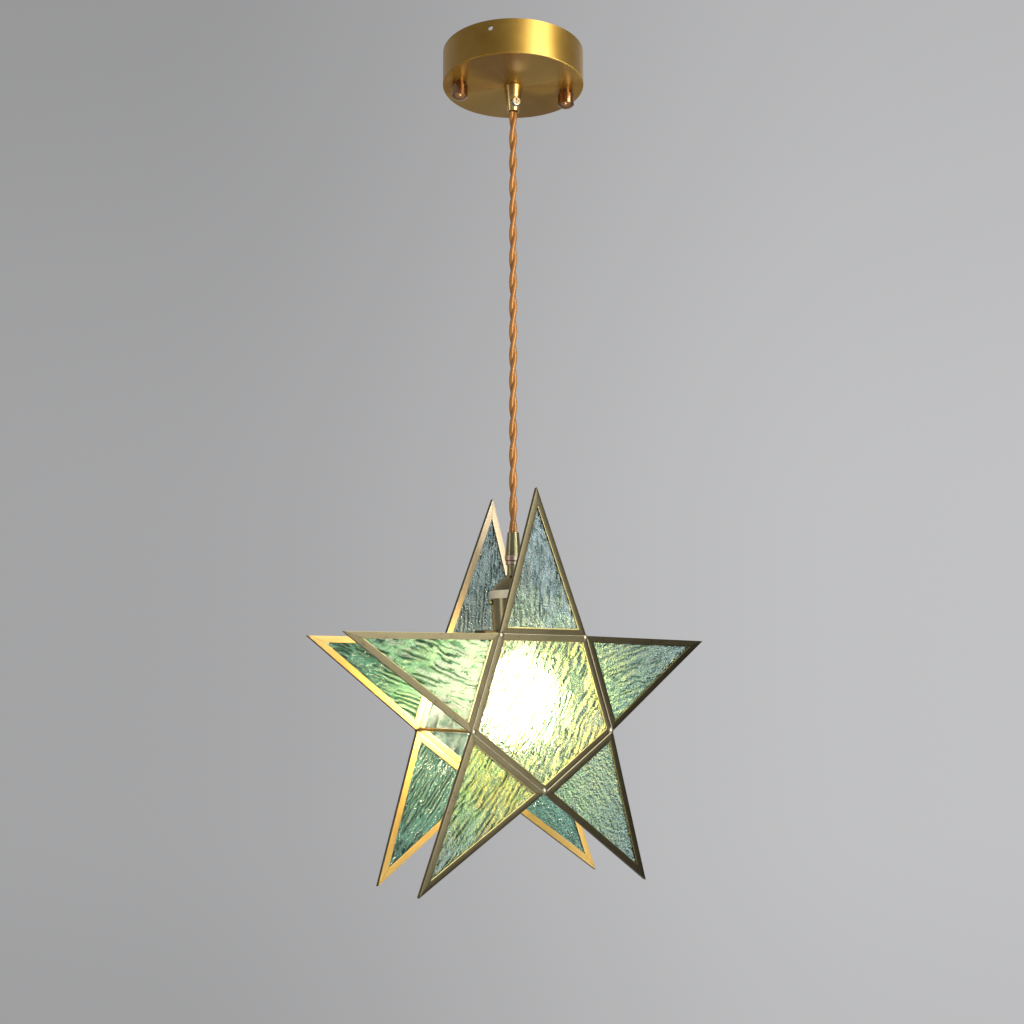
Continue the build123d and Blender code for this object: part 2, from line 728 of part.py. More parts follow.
for side, face in ((-1, "front"), (1, "back")):
    save(f"{face}_solder", solder_blobs(side))
    save(f"{face}_pentagon_frame", pentagon_plane(side) * channel_frame(*pentagon()))
    save(f"{face}_pentagon_glass", pentagon_plane(side) * pane(*pentagon()))
    for number in range(1, 6):
        save(f"{face}_ray_frame_{number}", ray_plane(side, number) * channel_frame(*triangle()))
        save(f"{face}_ray_glass_{number}", ray_plane(side, number) * pane(*triangle()))

print(f"free cord: {cord_length:.1f} mm, from {cord_top_z:.1f} to {cord_foot_z:.1f}; star centre at {star_z:.1f}")
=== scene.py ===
"""Looks of the star pendant: its twisted cord, its brass, its rippled glass and its lit bulb."""
import math

import bmesh
import bpy
from mathutils import Matrix, Vector


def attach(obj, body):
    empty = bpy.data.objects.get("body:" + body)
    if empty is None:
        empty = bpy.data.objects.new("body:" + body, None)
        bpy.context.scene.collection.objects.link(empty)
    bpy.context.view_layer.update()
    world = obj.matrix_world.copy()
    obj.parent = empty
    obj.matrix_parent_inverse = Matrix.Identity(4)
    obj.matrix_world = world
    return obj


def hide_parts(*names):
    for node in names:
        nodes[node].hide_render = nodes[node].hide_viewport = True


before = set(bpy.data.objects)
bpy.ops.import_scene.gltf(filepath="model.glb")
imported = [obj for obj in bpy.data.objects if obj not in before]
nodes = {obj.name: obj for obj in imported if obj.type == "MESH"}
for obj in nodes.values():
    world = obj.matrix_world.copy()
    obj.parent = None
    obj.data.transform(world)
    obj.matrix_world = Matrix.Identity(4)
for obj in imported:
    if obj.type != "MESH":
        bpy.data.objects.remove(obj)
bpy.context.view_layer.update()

# ---------------------------------------------------------------- sizes, in metres
cord_top = -0.0524
cord_length = 0.3613
cord_foot = cord_top - cord_length
cord_diameter = 0.0068
cord_lay = 0.042
strand_radius = 0.0021
strand_sides = 16
strand_step = 0.0009

# blends and rims say from where to where a finish changes, and a face's or groove's counts from it
canopy_face = -0.030
face_blend = (0.0004, 0.0012)
collar_groove = 0.0060
groove_blend = (0.00003, 0.00015)

star_height = -0.552
tip_radius = 0.170
inner_radius = 0.0662
ray_middle = 0.1
face_depth = 0.0475
frame_depth = 0.0036
sight_depth = face_depth - frame_depth
flange_width = 0.005
mitre_width = 0.0005
# outer_rim bounds the frames' rubbed outer edges, which also carry a painted glint; inner_rim bounds bulb
# light painted along their inner edges
outer_rim = (0.0002, 0.0006)
inner_rim = (flange_width - 0.0007, flange_width - 0.0003)
channel_blend = (sight_depth + 0.0003, sight_depth + 0.0007)
# the bulb light painted on the frames' inner sides goes from gold below gold_top to pale above pale_foot
gold_top = star_height + 0.03
pale_foot = star_height + 0.11
seam_radius = 0.00045
seam_end = 0.0022

bulb_height = -0.575
bulb_neck_foot = -0.532
bulb_neck_top = -0.514
bulb_power = 58.0
# the panes' painted glow of the bulb's light is thickest up to glow_near from its centre, and least beyond
# glow_far
glow_near = 0.08
glow_far = 0.133

floor_height = -1.35
floor_radius = 1.8

# ---------------------------------------------------------------- angles
sector = math.radians(72)
fold_slope = math.tan(math.radians(4.9))
# the canopy face's painted sheen is lightest along this direction
sheen_angle = math.radians(101)
# bars whose outer edge faces this way are painted lighter, as if lit from there
painted_light_angle = math.radians(140)
pentagon_turn = 0.5
apothem = inner_radius * math.cos(sector / 2)

# ---------------------------------------------------------------- glass
# each ray's ripples, clockwise from the top, then the pentagon's: their spacing, the grain's scale, how
# calm they are, how much lit veil they show as a painted glow of the bulb's light, and the roughness of the
# clear glass
ray_ripples = (
    (0.0056, 360, 0.25, 0.06, 0.05), (0.0050, 420, 0.4, 0.07, 0.08), (0.0046, 470, 0.7, 0.02, 0.06),
    (0.0044, 440, 0.2, 0.16, 0.07), (0.0050, 380, 0.0, 0.72, 0.08))
pentagon_ripples = (0.0054, 400, 0.2, 0.025, 0.10)
# each face's share of that light, and the size of its ripples
ray_glow = {"front": 1.0, "back": 0.5}
pentagon_glow = {"front": 1.0, "back": 0.125}
ripple_size = {"front": 1.0, "back": 0.72}
# height of the ripples' relief, and the step over which the grain's slope is taken, in metres
ripple_relief = 0.0009
grain_step = (0.0009, 0, 0.0006)

# ---------------------------------------------------------------- fineness of the marks, per metre
turning_marks = 1500
brush_marks = 2600
metal_grain = 2600
silk_threads = 2600

# ---------------------------------------------------------------- camera and backdrop
camera_place = (-0.5248, -0.9070, -0.5477)
camera_heading = math.radians(30.0)
camera_pitch = math.radians(8.2)
camera_lens = 45.70
backdrop_left = 0.385
backdrop_right = 0.525


def make_camera():
    """Camera at the photograph's place and angle."""
    data = bpy.data.cameras.new("camera")
    data.lens = camera_lens
    data.sensor_width = 36.0
    data.clip_start, data.clip_end = 0.01, 50.0
    camera = bpy.data.objects.new("camera", data)
    camera.location = camera_place
    camera.rotation_euler = (math.pi / 2 + camera_pitch, 0, -camera_heading)
    bpy.context.scene.collection.objects.link(camera)
    bpy.context.scene.camera = camera


# ---------------------------------------------------------------- shader sums
def tint(red, green, blue):
    """A colour as it looks on a screen, 0 to 255, in the shader's own numbers."""
    shares = [level / 255 for level in (red, green, blue)]
    return tuple(share / 12.92 if share <= 0.04045 else ((share + 0.055) / 1.055) ** 2.4 for share in shares)


class Value:
    """A socket that takes part in sums: each sum adds its Math node."""

    def __init__(self, paint, socket):
        self.paint = paint
        self.socket = socket

    def __add__(self, other):
        return self.paint.maths("ADD", self, other)

    def __sub__(self, other):
        return self.paint.maths("SUBTRACT", self, other)

    def __rsub__(self, other):
        return self.paint.maths("SUBTRACT", other, self)

    def __mul__(self, other):
        return self.paint.maths("MULTIPLY", self, other)

    def __truediv__(self, other):
        return self.paint.maths("DIVIDE", self, other)

    def __pow__(self, other):
        return self.paint.maths("POWER", self, other)

    __radd__ = __add__
    __rmul__ = __mul__


class Paint:
    """The nodes of one material or of the world, and one call that adds any of them."""

    def __init__(self, name, owner=None):
        self.material = owner or bpy.data.materials.new(name)
        self.material.use_nodes = True
        self.tree = self.material.node_tree
        self.tree.nodes.clear()

    def node(self, kind, settings=None, inputs=(), out=0):
        """Adds a node: its settings first, then the values or links of its sockets."""
        made = self.tree.nodes.new("ShaderNode" + kind)
        for name, setting in (settings or {}).items():
            setattr(made, name, setting)
        pairs = inputs.items() if isinstance(inputs, dict) else enumerate(inputs)
        for key, value in pairs:
            socket = made.inputs[key]
            if isinstance(value, Value):
                self.tree.links.new(value.socket, socket)
            elif socket.type == "RGBA":
                socket.default_value = (*value[:3], 1)
            else:
                socket.default_value = value
        return Value(self, made.outputs[out]) if made.outputs else made

    def maths(self, operation, *terms):
        return self.node("Math", {"operation": operation}, terms)

    def place(self):
        return self.node("TexCoord", out="Object")

    def axes(self, vector):
        """The three numbers of a vector."""
        first = self.node("SeparateXYZ", inputs=[vector])
        return [Value(self, output) for output in first.socket.node.outputs]

    def vector(self, *numbers):
        return self.node("CombineXYZ", inputs=numbers)

    def along(self, vector, direction):
        """How far a vector goes in a direction."""
        return self.node("VectorMath", {"operation": "DOT_PRODUCT"}, [vector, direction], out="Value")

    def turned(self, vector, centre=(0, 0, 0), turn=(0, 0, 0), stretch=(1, 1, 1)):
        """Coordinates from a centre, turned to a piece's own direction and stretched along it."""
        inputs = {"Vector": vector, "Location": centre, "Rotation": turn, "Scale": stretch}
        return self.node("Mapping", {"vector_type": "TEXTURE"}, inputs)

    def noise(self, vector, scale, detail=2.0, roughness=0.5, distortion=0.0):
        """A soft random pattern, mostly near one half."""
        cloud = {"Scale": scale, "Detail": detail, "Roughness": roughness, "Distortion": distortion}
        return self.node("TexNoise", inputs={"Vector": vector, **cloud})

    def fade(self, value, low, high, start=0.0, end=1.0):
        """From start to end while value goes from low to high, smoothly."""
        settings = {"interpolation_type": "SMOOTHSTEP"}
        return self.node("MapRange", settings, [value, low, high, start, end])

    def mix(self, share, first, second):
        """Two colours, the second one by its share."""
        return self.node("Mix", {"data_type": "RGBA"}, {0: share, 6: first, 7: second}, out=2)

    def bump(self, height, distance, strength=1.0, normal=None):
        """Relief over a surface, or over another relief."""
        inputs = {"Height": height, "Distance": distance, "Strength": strength}
        if normal is not None:
            inputs["Normal"] = normal
        return self.node("Bump", inputs=inputs)

    def shader(self, **sockets):
        """A Principled shader; the names of its sockets are written with underscores."""
        inputs = {name.replace("_", " "): value for name, value in sockets.items()}
        return self.node("BsdfPrincipled", inputs=inputs)

    def finish(self, shader):
        self.node("OutputMaterial", inputs=[shader])
        return self.material


# ---------------------------------------------------------------- turned and plain metals
def painted_face_sheen(paint, x, y, out):
    """Painted sheen of a brushed face: streaks from its middle, lightest along one line through it, where a
    light's reflection would lie.
    """
    rays = paint.noise(paint.vector(x / out * 1.3, y / out * 1.3, out * 2), 1.0, 4.0, 0.6)
    along = (x * math.cos(sheen_angle) + y * math.sin(sheen_angle)) / out
    return paint.fade(along * along, 0.5, 1.0, -0.3, 1.5) + (rays - 0.5) * 0.9


def turned_brass(
        name, dark, light, roughness, marks=0.5, anisotropy=0.5, lacquer=0.0, face=None, groove=None,
        metallic=1.0):
    """Brass turned on a lathe: fine rings, slow stains, a flat face streaked with painted sheen and a groove
    darkened with painted shade.
    """
    paint = Paint(name)
    place = paint.place()
    x, y, z = paint.axes(place)
    out = (x * x + y * y) ** 0.5
    drift = x * 35 + y * 50
    rings = paint.noise(paint.vector(out * turning_marks + drift, z * turning_marks, drift), 1.0, 3.0, 0.65)
    stain = paint.noise(place, 38, 3.0, 0.6)
    tone = rings * 0.35 + stain * 0.65
    if face is not None:
        flat = paint.fade(z, face + face_blend[0], face + face_blend[1], 1.0, 0.0)
        # painted sheen on the flat face, where a light's reflection would streak it
        tone = tone + painted_face_sheen(paint, x, y, out) * flat
        stain = stain + flat * 1.4
    colour = paint.mix(tone, dark, light)
    # painted shade darkens the groove
    if groove is not None:
        outside = paint.fade(out, groove + groove_blend[0], groove + groove_blend[1])
        colour = paint.mix(outside, tint(70, 56, 42), colour)
    rough = roughness + (rings - 0.5) * 0.18 * marks + (stain - 0.5) * 0.08
    normal = paint.bump(rings, 0.00003, marks)
    return paint.finish(paint.shader(
        Base_Color=colour, Metallic=metallic, Roughness=rough, Anisotropic=anisotropy, Coat_Weight=lacquer,
        Coat_Roughness=0.24, Coat_IOR=1.6, Normal=normal))


def aged_metal(name, dark, light, roughness, scale=60.0, grain=0.3):
    """Cast or drawn metal without marks of its own: cloudy colour and fine grain."""
    paint = Paint(name)
    place = paint.place()
    cloud = paint.noise(place, scale, 4.0, 0.6, 0.4)
    grains = paint.noise(place, metal_grain, 2.0, 0.7)
    colour = paint.mix(cloud * 0.8 + grains * 0.2, dark, light)
    rough = roughness + (cloud - 0.5) * 0.25
    normal = paint.bump(grains, 0.00002, grain)
    return paint.finish(paint.shader(Base_Color=colour, Metallic=1.0, Roughness=rough, Normal=normal))


# ---------------------------------------------------------------- brass of the star's frames
def ray_angle(number):
    """Direction of a ray's tip, seen from the front: the first one up, the others clockwise."""
    return math.radians(90 - 72 * (number - 1))


def on_face(radius, angle, side):
    """A place on one of the star's faces, so far out from its centre."""
    return (radius * math.cos(angle), side, star_height + radius * math.sin(angle))


def bar_edges(tip=None):
    """Outer edges of a ray's frame, or of the pentagon's, as (direction, distance) from the centre."""
    if tip is None:
        return [(ray_angle(number), apothem) for number in range(1, 6)]
    corners = [
        Vector((inner_radius * math.cos(tip + turn), inner_radius * math.sin(tip + turn)))
        for turn in (sector / 2, -sector / 2)]
    point = Vector((tip_radius * math.cos(tip), tip_radius * math.sin(tip)))
    edges = [(tip + math.pi, -apothem)]
    for corner in corners:
        along = (point - corner).normalized()
        outward = Vector((along.y, -along.x))
        if outward.dot(corner) < 0:
            outward = -outward
        edges.append((math.atan2(outward.y, outward.x), outward.dot(corner)))
    return edges


def bar_depths(paint, x, height, tip=None):
    """How deep a point lies behind the nearest and the next outer edge, and the nearest bar's painted side
    light, more the more its edge faces the painted light angle.
    """
    nearest = second = painted_side_light = None
    for way, distance in bar_edges(tip):
        depth = distance - (x * math.cos(way) + height * math.sin(way))
        faces_light = 0.5 + 0.5 * math.cos(way - painted_light_angle)
        if nearest is None:
            nearest, painted_side_light = depth, depth * 0 + faces_light
            continue
        further = paint.maths("MAXIMUM", nearest, depth)
        second = further if second is None else paint.maths("MINIMUM", second, further)
        painted_side_light = painted_side_light + (faces_light - painted_side_light) * paint.maths("LESS_THAN", depth, nearest)
        nearest = paint.maths("MINIMUM", nearest, depth)
    return nearest, second, painted_side_light


def inside_channel(paint, x, y, height, tip=None):
    """Where a frame's inner side is, on which the bulb's light is painted, on a ray that is folded back or
    not.
    """
    layer = paint.maths("ABSOLUTE", y)
    if tip is not None:
        layer = layer + (x * math.cos(tip) + height * math.sin(tip) - apothem) * fold_slope
    return paint.fade(layer, *channel_blend, 1.0, 0.0)


def frame_brass(name, tip=None):
    """Antique brass channel: brushed along each bar, uneven tarnish painted lighter on bars facing one side,
    dark mitres, rubbed edges with painted glints, and painted bulb light on its inner side.
    """
    paint = Paint(name)
    place = paint.place()
    x, y, z = paint.axes(place)
    height = z - star_height
    inside = inside_channel(paint, x, y, height, tip)
    nearest, second, painted_side_light = bar_depths(paint, x, height, tip)
    slow = paint.noise(place, 26, 3.0, 0.6, 0.5)
    stroke = paint.vector(nearest * brush_marks, slow * 9, x * 12 + z * 15)
    brush = paint.noise(stroke, 1.0, 3.0, 0.6)
    spots = paint.noise(place, 420, 3.0, 0.65)
    mitre = paint.fade(second - nearest, 0.0, mitre_width, 1.0, 0.0)
    outer = paint.fade(nearest, *outer_rim, 1.0, 0.0)
    inner = paint.fade(nearest, *inner_rim)
    # painted light: rubbed outer rims with a painted glint, and bulb light painted along the inner rims,
    # weaker on bars facing the painted light angle
    rim_wear_and_light = (outer * 0.5 + inner * (1.1 - painted_side_light * 0.8)) * (0.4 + spots)
    # the patina is painted lighter on bars that face the painted light angle
    patina_and_side_light = slow * 0.45 + brush * 0.35 + painted_side_light * 0.45 - 0.1
    # painted bulb light on the channel's inner side, gold low down and pale higher up
    glow = paint.mix(paint.fade(z, gold_top, pale_foot), tint(208, 172, 102), tint(232, 210, 176))
    colour = paint.mix(patina_and_side_light, tint(48, 44, 31), tint(108, 98, 74))
    colour = paint.mix(paint.fade(spots, 0.56, 0.72), colour, tint(62, 54, 40))
    colour = paint.mix(paint.fade(rim_wear_and_light, 0.35, 0.95), colour, tint(198, 180, 116))
    colour = paint.mix(inside * 0.85, colour, glow)
    colour = paint.mix(mitre * 0.6, colour, tint(30, 26, 18))
    rough = 0.3 + (brush - 0.5) * 0.2 + spots * 0.08 - rim_wear_and_light * 0.06 + inside * 0.2
    across = nearest / flange_width - 0.5
    crowned = paint.bump(across * across * -1, 0.0004, 1.0)
    normal = paint.bump(brush - mitre * 0.6, 0.00006, 0.5, crowned)
    return paint.finish(paint.shader(Base_Color=colour, Metallic=1.0, Roughness=rough, Normal=normal))


# ---------------------------------------------------------------- glass, bulb and plastics
# colours of the clear glass (plain, dark for painted shade, bright for painted highlight) and of its lit
# ripples (between and on the crests)
slate = (
    (tint(204, 232, 232), tint(104, 144, 148), tint(246, 254, 252)),
    (tint(180, 226, 208), tint(236, 255, 236)))
sea = (
    (tint(204, 240, 228), tint(66, 114, 106), tint(250, 255, 252)),
    (tint(140, 210, 168), tint(244, 246, 176)))
dawn = (
    (tint(218, 240, 230), tint(72, 112, 102), tint(255, 255, 248)),
    (tint(152, 216, 156), tint(255, 246, 150)))
glade = (
    (tint(210, 242, 230), tint(76, 120, 112), tint(252, 255, 252)),
    (tint(156, 218, 136), tint(255, 228, 84)))
sun = (
    (tint(156, 230, 186), tint(26, 76, 48), tint(246, 255, 240)),
    (tint(238, 252, 232), tint(255, 255, 250)))
grove = (
    (tint(140, 228, 192), tint(16, 80, 62), tint(230, 255, 242)),
    (tint(84, 200, 132), tint(206, 240, 140)))
emerald = (
    (tint(184, 250, 224), tint(28, 98, 86), tint(236, 255, 248)),
    (tint(90, 216, 154), tint(190, 250, 200)))
deep = (
    (tint(208, 234, 226), tint(70, 108, 108), tint(250, 255, 254)),
    (tint(120, 200, 176), tint(228, 250, 240)))
glass_tones = {"front": (slate, sea, sea, glade, sun), "back": (deep, sea, emerald, emerald, grove)}
pentagon_tones = {"front": dawn, "back": emerald}


def water_ripples(paint, local, drawn, spacing, grain, calm):
    """Height and slope of long wandering ripples, in patches, with a finer grain over them."""
    wander = paint.noise(drawn, 70, 2.0, 0.5, 1.0)
    phase = paint.axes(local)[0] * (2 * math.pi / spacing) + wander * 22
    patch = paint.fade(paint.noise(drawn, 110, 1.0, 0.5, 0.4), 0.36, 0.52, 0.25, 1.0) * (1 - calm)
    fine = paint.noise(local, grain, 2.0, 0.5, 1.2)
    beside = paint.noise(paint.turned(local, grain_step), grain, 2.0, 0.5, 1.2)
    height = paint.maths("SINE", phase) * patch * 0.7 + fine * 0.9
    slope = paint.maths("COSINE", phase) * patch * 0.8 + (fine - beside) * (1.8 + 2.8 * calm)
    return height, slope


def bulb_nearness(paint, place):
    """One near the bulb's centre, fading to nothing further out."""
    x, y, z = paint.axes(place)
    drop = z - bulb_height
    return paint.fade((x * x + y * y + drop * drop) ** 0.5, glow_near, glow_far, 1.0, 0.0)


def ripple_glass(name, centre, turn, ripples, size, glow, tones):
    """Sea-green water glass with painted shade and painted highlights on its ripples' slopes, clear between
    them and lit through where they catch the bulb, thickest near it as a painted glow.
    """
    spacing, grain, calm, share, haze = ripples
    (plain, dark, bright), (between_tone, crest_tone) = tones
    paint = Paint(name)
    place = paint.place()
    local = paint.turned(place, centre, (0, turn, 0))
    drawn = paint.turned(local, stretch=(1, 1, 2.2))
    height, slope = water_ripples(paint, local, drawn, spacing * size, grain / size, calm)
    normal = paint.bump(height, ripple_relief, 1.0)
    # painted shade on one slope of each ripple and a painted highlight on the other, laid into the glass's
    # colour; the highlight also thickens the lit veil
    painted_ripple_shade = paint.fade(slope, 0.25, 0.55)
    painted_ripple_light = paint.fade(slope, -0.62, -0.34, 1.0, 0.0)
    near = bulb_nearness(paint, place)
    colour = paint.mix(painted_ripple_light, paint.mix(painted_ripple_shade, plain, dark), bright)
    clear = paint.shader(Base_Color=colour, Roughness=haze, IOR=1.5, Transmission_Weight=1.0, Normal=normal)
    between = paint.node("BsdfTranslucent", inputs={"Color": between_tone, "Normal": normal})
    crests = paint.node("BsdfTranslucent", inputs={"Color": crest_tone, "Normal": normal})
    drift = paint.noise(drawn, 34, 2.0, 0.5, 0.6)
    warmth = paint.fade(drift, 0.42, 0.6, 0.0, 0.35 + share) + painted_ripple_light * 0.5
    lit = paint.node("MixShader", inputs=[warmth, between, crests])
    skin = paint.shader(Base_Color=colour, Roughness=0.2, Normal=normal)
    veil = paint.node("MixShader", inputs=[0.25, lit, skin])
    # the lit veil is laid on thicker near the bulb and on the painted highlights, standing in for the glow
    # of light scattered in the glass
    caught = (near * 1.3 + 0.3) * share * (1 - painted_ripple_shade * 0.92) + painted_ripple_light * (near * 0.5 + 0.3)
    return paint.finish(paint.node("MixShader", inputs=[caught * glow, clear, veil]))


def lit_bulb():
    """Frosted bulb, lit warm white, with a dim collar at its neck."""
    paint = Paint("frosted_glass")
    place = paint.place()
    frost = paint.noise(place, 900, 2.0, 0.6)
    body = paint.fade(paint.axes(place)[2], bulb_neck_foot, bulb_neck_top, 1.0, 0.0)
    colour = paint.mix(body, tint(66, 56, 40), tint(255, 236, 190))
    normal = paint.bump(frost, 0.00003, 0.4)
    return paint.finish(paint.shader(
        Base_Color=tint(240, 238, 230), Roughness=0.35 + frost * 0.1,
        Emission_Color=colour, Emission_Strength=bulb_power, Normal=normal))


def plain_finish(name, dark, light, roughness, coat=0.0):
    """Moulded or glazed surface with a slow change of colour and a fine grain."""
    paint = Paint(name)
    place = paint.place()
    cloud = paint.noise(place, 90.0, 3.0, 0.55)
    grains = paint.noise(place, 1800, 2.0, 0.6)
    colour = paint.mix(cloud * 0.7 + grains * 0.3, dark, light)
    rough = roughness + (grains - 0.5) * 0.12
    normal = paint.bump(grains, 0.00002, 0.35)
    return paint.finish(paint.shader(Base_Color=colour, Roughness=rough, Coat_Weight=coat, Normal=normal))


# ---------------------------------------------------------------- cord
def cord_route():
    """The cord's line, hanging straight from the upper grip to the lampholder's grip."""
    run = 6 * cord_diameter
    heights = (cord_top, cord_top - run, cord_foot + run, cord_foot)
    data = bpy.data.curves.new("cord_route", "CURVE")
    data.dimensions = "3D"
    data.resolution_u = 24
    spline = data.splines.new("NURBS")
    spline.points.add(len(heights) - 1)
    for point, height in zip(spline.points, heights):
        point.co = (0, 0, height, 1)
    spline.order_u = 3
    spline.use_endpoint_u = True
    route = bpy.data.objects.new("cord_route", data)
    bpy.context.scene.collection.objects.link(route)
    bpy.context.view_layer.update()
    line = bpy.data.meshes.new_from_object(route)
    points = [vertex.co.copy() for vertex in line.vertices]
    bpy.data.objects.remove(route)
    return points


def along_route(points, step):
    """Places at even steps along the route's own points, with its last point."""
    places = []
    left = 0.0
    for start, end in zip(points, points[1:]):
        way = (end - start).normalized()
        length = (end - start).length
        at = left
        while at < length:
            places.append(start + way * at)
            at += step
        left = at - length
    places.append(points[-1])
    return places


def lay_strand(mesh, places, angle):
    """One closed core: a ring beside the route, carried along it while it turns by the lay."""
    offset = cord_diameter / 2 - strand_radius
    ring = bmesh.ops.create_circle(mesh, cap_ends=False, segments=strand_sides, radius=strand_radius)
    start = Matrix.Translation(places[0]) @ Matrix.Rotation(angle, 4, "Z")
    bmesh.ops.transform(mesh, matrix=start @ Matrix.Translation((offset, 0, 0)), verts=ring["verts"])
    edges = list({edge for vert in ring["verts"] for edge in vert.link_edges})
    bmesh.ops.edgeloop_fill(mesh, edges=edges)
    for before, after in zip(places, places[1:]):
        made = bmesh.ops.extrude_edge_only(mesh, edges=edges)["geom"]
        verts = [item for item in made if isinstance(item, bmesh.types.BMVert)]
        edges = [item for item in made if isinstance(item, bmesh.types.BMEdge)]
        edges = [edge for edge in edges if edge.verts[0] in verts and edge.verts[1] in verts]
        turn = Matrix.Rotation(-2 * math.pi * (after - before).length / cord_lay, 4, "Z")
        about = Matrix.Translation(after) @ turn @ Matrix.Translation(-before)
        bmesh.ops.transform(mesh, matrix=about, verts=verts)
    bmesh.ops.edgeloop_fill(mesh, edges=edges)


def twisted_cord():
    """Two silk-covered cores twisted together, following the route."""
    points = cord_route()
    places = along_route(points, strand_step)
    mesh = bmesh.new()
    for angle in (0, math.pi):
        lay_strand(mesh, places, angle)
    bmesh.ops.recalc_face_normals(mesh, faces=mesh.faces)
    for face in mesh.faces:
        face.smooth = True
    cord = new_piece("twisted_cord", mesh, silk_cover())
    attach(cord, "cord")
    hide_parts("pendant_cord")


def silk_cover():
    """Gold silk braid: fine slanted threads across each core."""
    paint = Paint("gold_cord")
    place = paint.place()
    x, y, z = paint.axes(place)
    along = z * silk_threads
    around = paint.maths("ARCTAN2", y, x) * 3.0
    weave = paint.maths("SINE", along + around) * paint.maths("SINE", along - around) * 0.5 + 0.5
    fuzz = paint.noise(place, 2200, 2.0, 0.6)
    slow = paint.noise(place, 70, 2.0, 0.5)
    colour = paint.mix(weave * 0.3 + slow * 0.7, tint(142, 82, 28), tint(220, 156, 86))
    normal = paint.bump(weave * 0.7 + fuzz * 0.3, 0.00003, 0.5)
    return paint.finish(paint.shader(
        Base_Color=colour, Metallic=0.4, Roughness=0.36 + fuzz * 0.1, Specular_IOR_Level=0.6, Normal=normal))


# ---------------------------------------------------------------- new pieces and finishes on the CAD's
def new_piece(name, mesh, finish):
    """A piece of its own from a finished bmesh, at the origin, with its material."""
    data = bpy.data.meshes.new(name)
    mesh.to_mesh(data)
    mesh.free()
    data.materials.append(finish)
    piece = bpy.data.objects.new(name, data)
    bpy.context.scene.collection.objects.link(piece)
    return piece


def dress(material, *names):
    """Gives the named pieces one finish."""
    for name in names:
        piece = nodes[name]
        piece.data.materials.clear()
        piece.data.materials.append(material)


def seam_beads(face, finish):
    """Thin solder run along the five seams between the pentagon and the rays."""
    side = -face_depth if face == "front" else face_depth
    length = 2 * inner_radius * math.sin(sector / 2) - 2 * seam_end
    mesh = bmesh.new()
    for number in range(1, 6):
        angle = ray_angle(number)
        place = Matrix.Translation(on_face(apothem, angle, side))
        bmesh.ops.create_cone(
            mesh, cap_ends=True, segments=12, radius1=seam_radius, radius2=seam_radius, depth=length,
            matrix=place @ Matrix.Rotation(-angle, 4, "Y"))
    bmesh.ops.recalc_face_normals(mesh, faces=mesh.faces)
    # each run's round side stays smooth, and its rims are sharp, where the side meets an end
    for edge in mesh.edges:
        edge.smooth = len(edge.link_faces[0].verts) == len(edge.link_faces[1].verts)
    for facet in mesh.faces:
        facet.smooth = True
    beads = new_piece(f"{face}_seam_beads", mesh, finish)
    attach(beads, "lantern")


def dress_star():
    """Frames, panes and solder of both faces, ray by ray."""
    solder = aged_metal("solder", tint(150, 138, 112), tint(216, 200, 168), 0.32, 300.0, 0.8)
    for face in ("front", "back"):
        side = -sight_depth if face == "front" else sight_depth
        size = ripple_size[face]
        dress(frame_brass(f"{face}_pentagon_brass"), f"{face}_pentagon_frame")
        pentagon = ripple_glass(
            f"{face}_pentagon_ripple", (0, side, star_height), pentagon_turn, pentagon_ripples, size,
            pentagon_glow[face], pentagon_tones[face])
        dress(pentagon, f"{face}_pentagon_glass")
        dress(solder, f"{face}_solder")
        seam_beads(face, solder)
        panes = zip(ray_ripples, glass_tones[face])
        for number, (ripples, tones) in enumerate(panes, start=1):
            tip = ray_angle(number)
            dress(frame_brass(f"{face}_ray_brass_{number}", tip), f"{face}_ray_frame_{number}")
            glass = ripple_glass(
                f"{face}_ray_ripple_{number}", on_face(ray_middle, tip, side), math.pi / 2 - tip, ripples,
                size, ray_glow[face], tones)
            dress(glass, f"{face}_ray_glass_{number}")
    dress(solder, "rod_solder")


def dress_canopy():
    """Canopy with its cap nuts and cord grip, and the steel behind it."""
    brushed = turned_brass(
        "brushed_brass", tint(182, 132, 42), tint(222, 178, 86), 0.3, marks=0.25, anisotropy=0.75,
        lacquer=0.4, face=canopy_face)
    dress(brushed, "canopy_cup")
    polished = turned_brass(
        "polished_brass", tint(160, 112, 72), tint(206, 162, 120), 0.22, marks=0.3, anisotropy=0.2)
    dress(polished, "cap_nut_left", "cap_nut_right")
    satin = turned_brass(
        "satin_brass", tint(222, 190, 112), tint(246, 226, 160), 0.22, marks=0.4, lacquer=0.6)
    dress(satin, "canopy_cord_grip")
    dress(aged_metal("chrome", tint(156, 152, 150), tint(204, 200, 198), 0.16, 60, 0.1), "grip_screw")
    zinc = aged_metal("zinc_steel", tint(150, 152, 150), tint(200, 202, 204), 0.34, 90, 0.4)
    dress(zinc, "ceiling_crossbar", "canopy_studs", "stud_lock_nuts")


